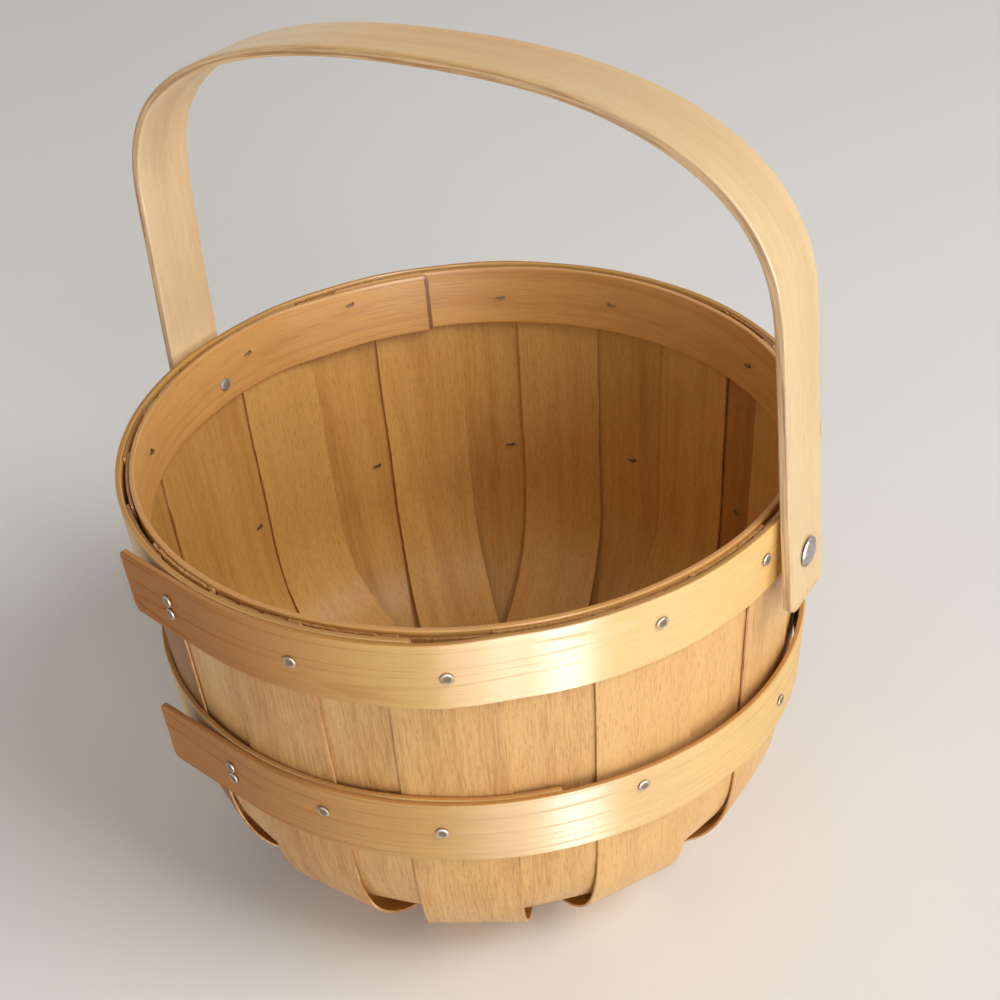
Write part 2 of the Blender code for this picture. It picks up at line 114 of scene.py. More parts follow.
def new_mesh(name: str, points: np.ndarray, faces: Sequence[Sequence[int]],
             sharp: float = 40.0) -> bpy.types.Object:
    """Puts worked out points and faces into a smooth shaded mesh object at the origin.

    Args:
        name: The piece's name.
        points: One row of three coordinates for each vertex, in metres.
        faces: Vertex numbers of each face, anticlockwise from outside.
        sharp: Angle, in degrees, past which an edge is drawn sharp.

    Returns:
        The new object, linked to the scene.
    """
    mesh = bpy.data.meshes.new(name)
    mesh.from_pydata(points.tolist(), [], faces)
    mesh.shade_smooth()
    mesh.set_sharp_from_angle(angle=math.radians(sharp))
    piece = bpy.data.objects.new(name, mesh)
    bpy.context.scene.collection.objects.link(piece)
    return piece


def set_attribute(piece: bpy.types.Object, name: str, values: np.ndarray) -> None:
    """Stores a number or a vector for each vertex, for the piece's material to read.

    Args:
        piece: The mesh object.
        name: The attribute's name.
        values: One number, or one row of three, for each vertex.
    """
    vector = values.ndim == 2
    kind = "FLOAT_VECTOR" if vector else "FLOAT"
    attribute = piece.data.attributes.new(name, kind, "POINT")
    flat = np.ascontiguousarray(values, np.float32).ravel()
    attribute.data.foreach_set("vector" if vector else "value", flat)


def skin_quads(rows: int, ring: int) -> np.ndarray:
    """Quads of a closed skin: each joins a point and the next one round the ring to the next row.

    Args:
        rows: How many rings of points follow each other.
        ring: How many points go round one.

    Returns:
        Vertex numbers, one row of four for each quad.
    """
    first = np.arange(rows - 1)[:, None] * ring
    here = first + np.arange(ring)
    beside = first + (np.arange(ring) + 1) % ring
    return np.stack([here, here + ring, beside + ring, beside], axis=-1).reshape(-1, 4)


@dataclass(frozen=True)
class Section:
    """Cross section of a flat blank: a rectangle with rounded corners."""

    thickness: float
    rounding: float
    across: int
    corner_steps: int = 3

    def loop(self) -> tuple[np.ndarray, np.ndarray, np.ndarray, np.ndarray]:
        """One turn round the section: over the upper face and back under the lower one.

        Returns:
            Share of the flat half width, share of the rounding across, height above the middle in
            metres, and share of the way from a face (0) to the cut edge (1).
        """
        turn = np.linspace(0, np.pi / 2, self.corner_steps + 1)
        ends = np.ones(turn.size)
        flat = np.concatenate([-ends, np.linspace(-1, 1, self.across + 1)[1:-1], ends])
        inner = np.zeros(self.across - 1)
        bulge = np.concatenate([-np.cos(turn), inner, np.sin(turn)])
        rise = np.concatenate([np.sin(turn), inner + 1, np.cos(turn)])
        height = self.thickness / 2 - self.rounding + self.rounding * rise
        flat = np.concatenate([flat, flat[::-1]])
        bulge = np.concatenate([bulge, bulge[::-1]])
        edge = np.concatenate([1 - rise, (1 - rise)[::-1]])
        return flat, bulge, np.concatenate([height, -height[::-1]]), edge


@dataclass
class Blank:
    """A flat blank of wood before it is bent, measured along, across and through."""

    section: Section
    stations: np.ndarray
    half_width: np.ndarray
    end_corner: float
    ragged: Callable[[np.ndarray, np.ndarray], np.ndarray] | None = None
    end_cut: float = 0.8
    probe: float = 1e-4

    def rounded_half_width(self) -> np.ndarray:
        """Half width at each station, drawn in at both ends along a circle with the corner's radius."""
        start, end = self.stations[0], self.stations[-1]
        to_end = np.minimum(self.stations - start, end - self.stations)
        into = np.clip(self.end_corner - to_end, 0, self.end_corner)
        return self.half_width - self.end_corner + np.sqrt(self.end_corner**2 - into**2)

    def bend(self, name: str, middle: Middle, seed: int, tone: np.ndarray | float) -> bpy.types.Object:
        """Bends the blank along a surface and gives it its thickness.

        Each point is the middle surface's point at its place along and across, plus its height
        times the surface's unit normal, which is the cross product of the two slopes. On the wall's
        pieces the normal points into the basket.

        Args:
            name: The piece's name.
            middle: Gives points of the middle surface for arrays of places along and across.
            seed: Moves the wood's pattern, so that no two pieces show the same.
            tone: How dark the wood is, about -1 to 2, as one number, a column for the stations or a
                row for the places round the section.

        Returns:
            The bent piece.
        """
        flat, bulge, height, edge = self.section.loop()
        width = self.rounded_half_width()[:, None]
        across = flat * (width - self.section.rounding) + bulge * self.section.rounding
        along = self.stations[:, None] + np.zeros_like(across)
        if self.ragged is not None:
            along = along + self.ragged(along, across)
        slope_along = middle(along + self.probe, across) - middle(along - self.probe, across)
        slope_across = middle(along, across + self.probe) - middle(along, across - self.probe)
        normal = np.cross(slope_along, slope_across)
        normal /= np.linalg.norm(normal, axis=-1, keepdims=True)
        points = middle(along, across) + normal * height[:, None]
        piece = new_mesh(name, points.reshape(-1, 3), self.faces(*along.shape))
        chance = np.random.default_rng(seed)
        place = np.stack([along, across, np.broadcast_to(height, along.shape)], axis=-1).reshape(-1, 3)
        set_attribute(piece, "blank", place + chance.uniform(1, 9, 3))
        to_end = np.minimum(self.stations - self.stations[0], self.stations[-1] - self.stations)
        near_end = 1 - ease(to_end / self.section.thickness)
        cut = np.maximum(edge[None, :], near_end[:, None] * self.end_cut)
        set_attribute(piece, "cut", cut.ravel())
        set_attribute(piece, "upper", np.broadcast_to(height > 0, cut.shape).ravel().astype(float))
        set_attribute(piece, "tone", np.broadcast_to(tone, cut.shape).ravel())
        return piece

    @staticmethod
    def faces(stations: int, ring: int) -> list[list[int]]:
        """Quads round the section from each station to the next, and rows of quads across both ends.

        Args:
            stations: How many stations there are along the blank.
            ring: How many points go round the section.

        Returns:
            Vertex numbers of the faces of the closed shell.
        """
        upper = np.arange(ring // 2 - 1)
        lower = ring - 1 - upper
        start = np.stack([upper, upper + 1, lower - 1, lower], axis=-1)
        end = start[:, ::-1] + (stations - 1) * ring
        return np.concatenate([skin_quads(stations, ring), start, end]).tolist()


def spaced(start: float, end: float, step: float, end_step: float, end_reach: float) -> np.ndarray:
    """Places from start to end, with closer ones near both ends.

    Args:
        start: First place.
        end: Last place.
        step: Spacing between the ends.
        end_step: Spacing near an end.
        end_reach: How far from an end the closer spacing goes.

    Returns:
        The rising places.
    """
    close = np.arange(0, end_reach, end_step)
    count = max(int(math.ceil((end - start - 2 * end_reach) / step)), 1)
    between = np.linspace(start + end_reach, end - end_reach, count + 1)
    return np.concatenate([start + close, between, end - close[::-1]])


def turned(name: str, profile: Sequence[tuple[float, float]], sides: int) -> bpy.types.Object:
    """Turns an outline about Z: radius times cosine, radius times sine, height, with a pole at each end.

    Args:
        name: The piece's name.
        profile: Points of radius and height from the top pole to the lower one.
        sides: How many faces go round.

    Returns:
        The closed turned piece.
    """
    outline = np.array(profile[1:-1])
    angle = np.linspace(0, 2 * np.pi, sides, endpoint=False)
    out = outline[:, :1]
    height = np.broadcast_to(outline[:, 1:], (len(outline), sides))
    rings = np.stack([out * np.cos(angle), out * np.sin(angle), height], axis=-1).reshape(-1, 3)
    points = np.concatenate([rings, [[0, 0, profile[0][1]], [0, 0, profile[-1][1]]]])
    skin = skin_quads(len(outline), sides).tolist()
    around = np.arange(sides)
    after = (around + 1) % sides
    last = (len(outline) - 1) * sides
    top = np.stack([np.full(sides, len(rings)), around, after], axis=-1).tolist()
    low = np.stack([np.full(sides, len(rings) + 1), after + last, around + last], axis=-1).tolist()
    piece = new_mesh(name, points, skin + top + low, sharp=60.0)
    radius = np.hypot(points[:, 0], points[:, 1])
    set_attribute(piece, "middle", 1 - radius / radius.max())
    return piece


def mesh_points(piece: bpy.types.Object) -> np.ndarray:
    """The points of a piece or a CAD node, one row each."""
    mesh = piece.data
    points = np.empty(len(mesh.vertices) * 3, np.float32)
    mesh.vertices.foreach_get("co", points)
    return points.reshape(-1, 3).astype(float)


def pivot_height() -> float:
    """Height of the line through both rivets, about which the handle swings."""
    return frame["joints"][0]["pos_m"][2]


class Wire:
    """A number inside a material. Arithmetic on it adds Math nodes."""

    def __init__(self, graph: "Graph", socket: bpy.types.NodeSocket) -> None:
        """Wraps an output socket of the graph's tree."""
        self.graph = graph
        self.socket = socket

    def math(self, operation: str, *others: "Wire | float") -> "Wire":
        """Adds one Math node.

        Args:
            operation: The node's operation.
            *others: The second and third value, where the operation takes them.

        Returns:
            The node's result.
        """
        inputs = dict(enumerate((self, *others)))
        node = self.graph.node("ShaderNodeMath", {"operation": operation}, inputs)
        return Wire(self.graph, node.outputs[0])

    def __add__(self, other: "Wire | float") -> "Wire":
        """Sum."""
        return self.math("ADD", other)

    __radd__ = __add__

    def __mul__(self, other: "Wire | float") -> "Wire":
        """Product."""
        return self.math("MULTIPLY", other)

    __rmul__ = __mul__

    def __sub__(self, other: "Wire | float") -> "Wire":
        """Difference."""
        return self.math("SUBTRACT", other)

    def __rsub__(self, other: "Wire | float") -> "Wire":
        """Difference from a plain number."""
        return self * -1.0 + other

    def between(self, low: float, high: float) -> "Wire":
        """Smooth step from 0 at low to 1 at high."""
        inputs = {"Value": self, "From Min": low, "From Max": high}
        node = self.graph.node("ShaderNodeMapRange", {"interpolation_type": "SMOOTHSTEP"}, inputs)
        return Wire(self.graph, node.outputs["Result"])


class Graph:
    """The node tree of one material, or of the world."""

    def __init__(self, owner: bpy.types.Material | bpy.types.World) -> None:
        """Opens an owner's tree. A material's own shader is its Principled one."""
        self.owner = owner
        owner.use_nodes = True
        self.tree = owner.node_tree
        self.shader = self.tree.nodes.get("Principled BSDF")

    def node(self, kind: str, settings: dict | None = None, inputs: dict | None = None) -> bpy.types.Node:
        """Adds a node.

        Args:
            kind: The node's type.
            settings: Its settings, which are set first.
            inputs: A value or a link for each named or numbered socket.

        Returns:
            The new node.
        """
        node = self.tree.nodes.new(kind)
        for key, value in (settings or {}).items():
            setattr(node, key, value)
        for key, value in (inputs or {}).items():
            self.feed(node.inputs[key], value)
        return node

    def feed(self, socket: bpy.types.NodeSocket, value: object) -> None:
        """Links a wire or an output to a socket, or sets the socket's own value."""
        if isinstance(value, Wire):
            self.tree.links.new(value.socket, socket)
        elif isinstance(value, bpy.types.NodeSocket):
            self.tree.links.new(value, socket)
        else:
            socket.default_value = value

    def attribute(self, name: str) -> bpy.types.Node:
        """Node that reads one of the piece's own attributes."""
        return self.node("ShaderNodeAttribute", {"attribute_name": name})

    def number(self, name: str) -> Wire:
        """One of the piece's own attributes as a number."""
        return Wire(self, self.attribute(name).outputs["Fac"])

    def scaled(self, vector: bpy.types.NodeSocket, scale: tuple[float, float, float]) -> bpy.types.NodeSocket:
        """The vector times a scale on each axis."""
        return self.node("ShaderNodeVectorMath", {"operation": "MULTIPLY"}, {0: vector, 1: scale}).outputs[0]

    def noise(self, vector: bpy.types.NodeSocket, scale: tuple[float, float, float], detail: float = 2.0,
              roughness: float = 0.5, distortion: float = 0.0) -> Wire:
        """Noise of about one cell for each metre over the scale.

        Args:
            vector: Place in the wood.
            scale: Cells for each metre along, across and through.
            detail: Number of finer octaves.
            roughness: Weight of the finer octaves.
            distortion: How far the pattern is pulled about.

        Returns:
            A number about 0.5.
        """
        inputs = {"Vector": self.scaled(vector, scale), "Scale": 1.0, "Detail": detail,
                  "Roughness": roughness, "Distortion": distortion}
        return Wire(self, self.node("ShaderNodeTexNoise", None, inputs).outputs["Fac"])

    def mix(self, factor: Wire | float, first: object, second: object,
            blend: str = "MIX") -> bpy.types.NodeSocket:
        """Mixes two colours.

        Args:
            factor: Share of the second colour.
            first: A colour or a socket.
            second: A colour or a socket.
            blend: The blend type.

        Returns:
            The mixed colour's socket.
        """
        inputs = {"Factor": factor}
        for socket, colour in ((6, first), (7, second)):
            inputs[socket] = (*colour, 1.0) if isinstance(colour, tuple) else colour
        node = self.node("ShaderNodeMix", {"data_type": "RGBA", "blend_type": blend}, inputs)
        return node.outputs[2]

    def bump(self, height: Wire, distance: float, strength: float) -> bpy.types.NodeSocket:
        """Normal of a fine relief, with its depth in metres."""
        inputs = {"Height": height, "Distance": distance, "Strength": strength}
        return self.node("ShaderNodeBump", None, inputs).outputs["Normal"]

    def finish(self, **inputs: object) -> bpy.types.Material:
        """Feeds the shader's sockets, named with underscores for spaces, and returns the material."""
        for key, value in inputs.items():
            self.feed(self.shader.inputs[key.replace("_", " ")], value)
        return self.owner

    def overlay(self, share: Wire, **inputs: object) -> bpy.types.Material:
        """Mixes a second Principled shader over the first.

        Args:
            share: Share of the second shader.
            **inputs: Its sockets' values or links, named with underscores for spaces.

        Returns:
            The material.
        """
        named = {key.replace("_", " "): value for key, value in inputs.items()}
        second = self.node("ShaderNodeBsdfPrincipled", None, named)
        inputs = {0: share, 1: self.shader.outputs[0], 2: second.outputs[0]}
        mixed = self.node("ShaderNodeMixShader", None, inputs)
        self.feed(self.tree.nodes["Material Output"].inputs["Surface"], mixed.outputs[0])
        return self.owner


@dataclass(frozen=True)
class WoodFinish:
    """A varnished wood, its pattern worked out on the flat blank so that it follows every bend.

    Scales are cells for each metre along, across and through, and shares say how far each part of the
    pattern takes the colour from pale to dark. The upper tint is painted shade on the face that looks into
    the basket, or on the handle's outer face.
    """

    name: str
    slot: str
    pale: Rgb
    dark: Rgb
    pore: Rgb
    cut: Rgb
    aged_and_shaded: Rgb
    # painted shade: multiplied over the upper face
    upper: Rgb = (1.0, 1.0, 1.0)
    patches: tuple[float, float, float] = (7.0, 14.0, 9.0)
    patch_share: float = 0.35
    streaks: tuple[float, float, float] = (3.0, 130.0, 90.0)
    streak_share: float = 0.35
    rings: float = 9.0
    ring_field: tuple[float, float, float] = (1.4, 16.0, 30.0)
    ring_share: float = 0.15
    ring_line: tuple[float, float] = (0.1, 0.95)
    ring_breaks: tuple[float, float, float] = (40.0, 300.0, 200.0)
    ring_dulling: float = 0.0
    fibres: tuple[float, float, float] = (22.0, 1500.0, 900.0)
    fibre_share: float = 0.5
    upper_calm: float = 0.0
    pores: tuple[float, float, float] = (60.0, 1900.0, 1500.0)
    pore_share: float = 0.2
    pore_limit: float = 0.56
    tone_share: float = 0.22
    roughness: float = 0.5
    coat: float = 0.2
    coat_roughness: float = 0.3
    gloss: float = 0.25
    relief: float = 0.00006
    # tone range over which the wood is browned and painted with shade
    browning_and_shade: tuple[float, float] = (0.6, 2.4)
    cut_share: float = 0.85
    cut_dulling: float = 0.2
    fibre_dulling: float = 0.16

    def age(self, graph: Graph) -> Wire:
        """How much the wood is browned and painted with shade, from 0 to 1, where its tone is high."""
        return graph.number("tone").between(*self.browning_and_shade)

    def material(self) -> bpy.types.Material:
        """The wood under one even varnish."""
        graph = Graph(bpy.data.materials.new(self.name))
        return graph.finish(**self.surface(graph))

    def surface(self, graph: Graph) -> dict[str, object]:
        """Patches, streaks, growth rings, fibres and pores, other cut edges, painted shade on the upper face,
        and brown where the tone is high, which is partly browning and partly painted shade.

        Args:
            graph: The material's graph.

        Returns:
            Values and links for the shader's sockets, named with underscores for spaces.
        """
        blank = graph.attribute("blank").outputs["Vector"]
        tone, cut, upper = (graph.number(name) for name in ("tone", "cut", "upper"))
        patch = graph.noise(blank, self.patches, 2.0)
        streak = graph.noise(blank, self.streaks, 2.0, 0.6)
        ring_field = graph.noise(blank, self.ring_field, 2.0, 0.4, 0.3)
        ring = (ring_field * (self.rings * 2 * math.pi)).math("SINE").between(*self.ring_line)
        ring = ring * graph.noise(blank, self.ring_breaks).between(0.3, 0.5)
        fibre = graph.noise(blank, self.fibres, 3.0, 0.65)
        pore = graph.noise(blank, self.pores, 1.0).between(self.pore_limit, self.pore_limit + 0.1)
        strength = self.fibre_share * (1.0 - upper * self.upper_calm)
        shade = patch.between(0.3, 0.7) * self.patch_share + streak.between(0.3, 0.7) * self.streak_share
        shade = shade + ring * self.ring_share + (fibre - 0.5) * strength + tone * self.tone_share
        wood = graph.mix(shade.between(-0.1, 1.1), self.pale, self.dark)
        wood = graph.mix(pore * self.pore_share, wood, self.pore)
        # painted shade: the upper tint darkens the faces that look into the basket and the handle's outer
        # face
        wood = graph.mix(upper, wood, self.upper, "MULTIPLY")
        # browning and painted shade where the tone is high
        wood = graph.mix(self.age(graph), wood, self.aged_and_shaded, "MULTIPLY")
        sawn = graph.mix(fibre.between(0.35, 0.65), self.cut, self.dark)
        wood = graph.mix(cut * self.cut_share, wood, sawn)
        relief = fibre - pore * 0.5 + ring * 0.15
        sheen = self.roughness + (fibre - 0.5) * self.fibre_dulling
        sheen = sheen + ring * self.ring_dulling + cut * self.cut_dulling
        return {
            "Base_Color": wood,
            "Roughness": sheen,
            "Normal": graph.bump(relief, self.relief, 1.0),
            "Coat_Weight": self.coat,
            "Coat_Roughness": self.coat_roughness,
            "Specular_IOR_Level": self.gloss,
        }


@dataclass(frozen=True)
class SatinFinish(WoodFinish):
    """A wood under a hard varnish that shines across the fibres, worn off where the wood is aged and left off
    where shade is painted through a high tone.
    """

    varnish_gloss: float = 1.0
    varnish_roughness: float = 0.42

    def material(self) -> bpy.types.Material:
        """The bare wood, with the same wood under the satin varnish mixed over it where that is whole."""
        graph = Graph(bpy.data.materials.new(self.name))
        surface = self.surface(graph)
        graph.finish(**surface)
        satin = surface | {
            "Roughness": surface["Roughness"] + (self.varnish_roughness - self.roughness),
            "Specular_IOR_Level": self.varnish_gloss,
            "Anisotropic": 1.0,
            "Anisotropic_Rotation": 0.25,
        }
        # the satin varnish is left off where the wood is browned and where shade is painted
        whole = (1.0 - self.age(graph)) * (1.0 - graph.number("cut"))
        return graph.overlay(whole, **satin)


@dataclass(frozen=True)
class SteelFinish:
    """Plain tack steel, dulled by handling, with painted shade darkening the middle of each head."""

    name: str
    slot: str = "steel"
    bright: Rgb = srgb(180, 168, 152)
    dull: Rgb = srgb(120, 106, 92)
    shaded_middle: Rgb = srgb(98, 82, 64)
    roughness: float = 0.48
    clouds: tuple[float, float, float] = (420.0, 420.0, 420.0)
    scratches: tuple[float, float, float] = (900.0, 900.0, 9000.0)
    middle_shading: float = 0.9
    relief: float = 0.00004

    def material(self) -> bpy.types.Material:
        """Cloudy dulling and fine scratches on bare metal, with painted shade in the middle."""
        graph = Graph(bpy.data.materials.new(self.name))
        place = graph.node("ShaderNodeTexCoord").outputs["Object"]
        cloud = graph.noise(place, self.clouds, 4.0, 0.6)
        scratch = graph.noise(place, self.scratches, 2.0)
        colour = graph.mix(cloud.between(0.35, 0.7), self.bright, self.dull)
        middle = graph.number("middle").between(0.2, 0.5)
        # painted shade: darkens the middle of each head
        colour = graph.mix(middle * self.middle_shading, colour, self.shaded_middle)
        rough = cloud * 0.3 + (self.roughness - 0.15) + scratch * 0.1 + middle * 0.25
        relief = graph.bump(scratch + cloud, self.relief, 0.6)
        return graph.finish(Base_Color=colour, Metallic=1.0, Roughness=rough, Normal=relief)


HOOP_GRAIN: dict[str, float | tuple[float, ...]] = {
    "patches": (6.0, 12.0, 9.0), "streaks": (1.6, 110.0, 90.0), "ring_field": (1.1, 24.0, 40.0),
    "ring_share": 0.2, "fibres": (12.0, 1300.0, 900.0),
}


class Finish(Enum):
    """The basket's finishes."""

    # Strip veneer: the upper tint is painted shade on the faces inside the basket, and the browning colour
    # also paints shade where a strip's tone is set high.
    STRIP = WoodFinish(
        "strip_veneer", "strip_wood",
        pale=srgb(218, 173, 111), dark=srgb(168, 111, 52), pore=srgb(156, 98, 46), cut=srgb(222, 184, 132),
        upper=(1.0, 0.97, 0.75), aged_and_shaded=(0.6, 0.46, 0.3), patch_share=0.24, streak_share=0.2,
        ring_share=0.12, tone_share=0.2, fibres=(60.0, 1250.0, 900.0), fibre_share=1.3, upper_calm=0.55,
        pores=(230.0, 1700.0, 1200.0), pore_share=0.27, roughness=0.45, coat=0.15, relief=0.00007,
    )
    # Hoop wood: the upper tint is painted shade on the hoops' inner face, and the browning colour also paints
    # shade on the free ends at the basket's dark left side.
    HOOP = SatinFinish(
        "hoop_wood", "hoop_wood",
        pale=srgb(226, 186, 116), dark=srgb(176, 122, 54), pore=srgb(144, 94, 40), cut=srgb(176, 124, 80),
        upper=(0.86, 0.76, 0.5), aged_and_shaded=(0.68, 0.44, 0.2), patch_share=0.22, streak_share=0.1, rings=22.0,
        ring_line=(0.78, 0.98), ring_dulling=0.5, fibre_share=0.3, pore_share=0.15, tone_share=0.25,
        coat=0.0, coat_roughness=0.25, relief=0.00003, **HOOP_GRAIN,
    )
    # Inner hoop wood: its browning colour paints a thin shadow line at the hoop's lapped end.
    INNER_HOOP = WoodFinish(
        "inner_hoop_wood", "hoop_wood",
        pale=srgb(226, 174, 102), dark=srgb(200, 142, 72), pore=srgb(138, 86, 38), cut=srgb(186, 140, 94),
        aged_and_shaded=(0.36, 0.22, 0.12), streak_share=0.3, fibre_share=0.6, roughness=0.45, gloss=0.3, **HOOP_GRAIN,
    )
    # Handle wood: the upper tint is painted shade on the strap's outer face.
    HANDLE = WoodFinish(
        "handle_wood", "handle_wood",
        pale=srgb(244, 218, 172), dark=srgb(226, 188, 136), pore=srgb(196, 152, 98), cut=srgb(156, 104, 56),
        upper=(0.74, 0.7, 0.61), aged_and_shaded=(1.0, 0.74, 0.22), streaks=(2.2, 80.0, 60.0),
        pores=(160.0, 3000.0, 1500.0), gloss=0.6, relief=0.00007,
    )
    STEEL = SteelFinish("tack_steel")
    RIVET_STEEL = SteelFinish(
        "rivet_steel",
        bright=srgb(174, 168, 166), dull=srgb(122, 114, 112), shaded_middle=srgb(134, 124, 120), roughness=0.4,
    )


class Dresser:
    """Gives pieces their materials and ties them to the CAD bodies and nodes."""

    def __init__(self) -> None:
        """Makes each finish's material once."""
        self.materials = {finish: finish.value.material() for finish in Finish}

    def dress(self, piece: bpy.types.Object, finish: Finish, body: str, node: str) -> None:
        """Finishes a piece and lets it stand for a CAD node.

        Args:
            piece: The finished mesh object.
            finish: Its finish.
            body: The CAD body that it rides on.
            node: The CAD node that it stands for.
        """
        piece.data.materials.append(self.materials[finish])
        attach(piece, body)
        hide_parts(node)
        LOG.info("%s: %d faces", piece.name, len(piece.data.polygons))


@dataclass
class WallPlan:
    """The wall that all the layers share."""

    rim_radius: float = 0.140
    taper: float = 0.038
    layer_gap: float = 0.0003
    hoop_thickness: float = 0.0022
    strip_thickness: float = 0.0011
    rim_height: float = field(default_factory=lambda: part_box("top_hoop")[1].z)

    @property
    def hoop_pitch(self) -> float:
        """From the middle of one turn of a hoop to the next."""
        return self.hoop_thickness + self.layer_gap

    @property
    def top_hoop_radius(self) -> float:
        """Rim radius of the middle of the outer hoops' first turn."""
        return self.rim_radius - self.hoop_thickness / 2

    @property
    def outer_strip_radius(self) -> float:
        """Rim radius of the middle of the outer strips."""
        return self.rim_radius - self.hoop_pitch - self.strip_thickness / 2

    @property
    def inner_strip_radius(self) -> float:
        """Rim radius of the middle of the inner strips."""
        return self.outer_strip_radius - self.strip_thickness - self.layer_gap

    @property
    def inner_hoop_radius(self) -> float:
        """Rim radius of the middle of the inner hoop's first turn."""
        return self.inner_strip_radius - self.strip_thickness / 2 - self.layer_gap - self.hoop_thickness / 2

    def at(self, rim_radius: np.ndarray | float, height: np.ndarray | float) -> np.ndarray | float:
        """Radius at a height: the rim radius less the taper times the depth under the rim."""
        return rim_radius - self.taper * (self.rim_height - height)


@dataclass(frozen=True)
class Lay:
    """How one strip was laid: its heading in degrees, sideways shift, level and tones outside and inside."""

    heading: float
    shift: float
    level: int
    tone: float
    # the inside tone is partly painted shade
    inside: float


class Layer(Enum):
    """The two layers of strips: name, first heading, and turn, shift and both tones of each strip as laid."""

    # Some tones are painted light: the fourth outer strip is darker outside and inside for painted shade on
    # the basket's left and at the back right, the third is paler outside for painted sheen at the front
    # right, and the outer strips' inside tones are darker, partly painted shade where they lie behind the
    # inner strips.
    OUTER = ("outer_strip", 119.5,
             ((-0.4, 0.0010, 0.0, 0.4), (0.1, -0.0020, 1.0, 0.5), (0.1, 0.0013, -1.0, 0.4),
              (0.0, -0.0025, 2.2, 1.6), (0.0, 0.0020, -0.4, -0.2), (1.0, 0.0, 0.3, 0.4)))
    INNER = ("inner_strip", 134.5,
             ((0.2, 0.0, -0.3, -0.3), (0.2, 0.0, 0.4, -0.4), (1.3, 0.0012, -1.0, -0.6),
              (-1.5, -0.0020, -0.3, -0.3), (2.0, 0.0, -0.5, -0.3), (0.5, 0.0, 0.3, 0.2)))

    def lays(self) -> list[Lay]:
        """The strips' lays: they go down alternately to one side and the other of the first."""
        _, first, settings = self.value
        pitch = 180 / len(settings)
        start_level = 0 if self is Layer.OUTER else len(settings)
        lays = []
        for order, (turn, shift, *tones) in enumerate(settings):
            side = -1 if order % 2 else 1
            heading = first + pitch * ((order + 1) // 2) * side + turn
            lays.append(Lay(heading, shift, start_level + order, *tones))
        return lays


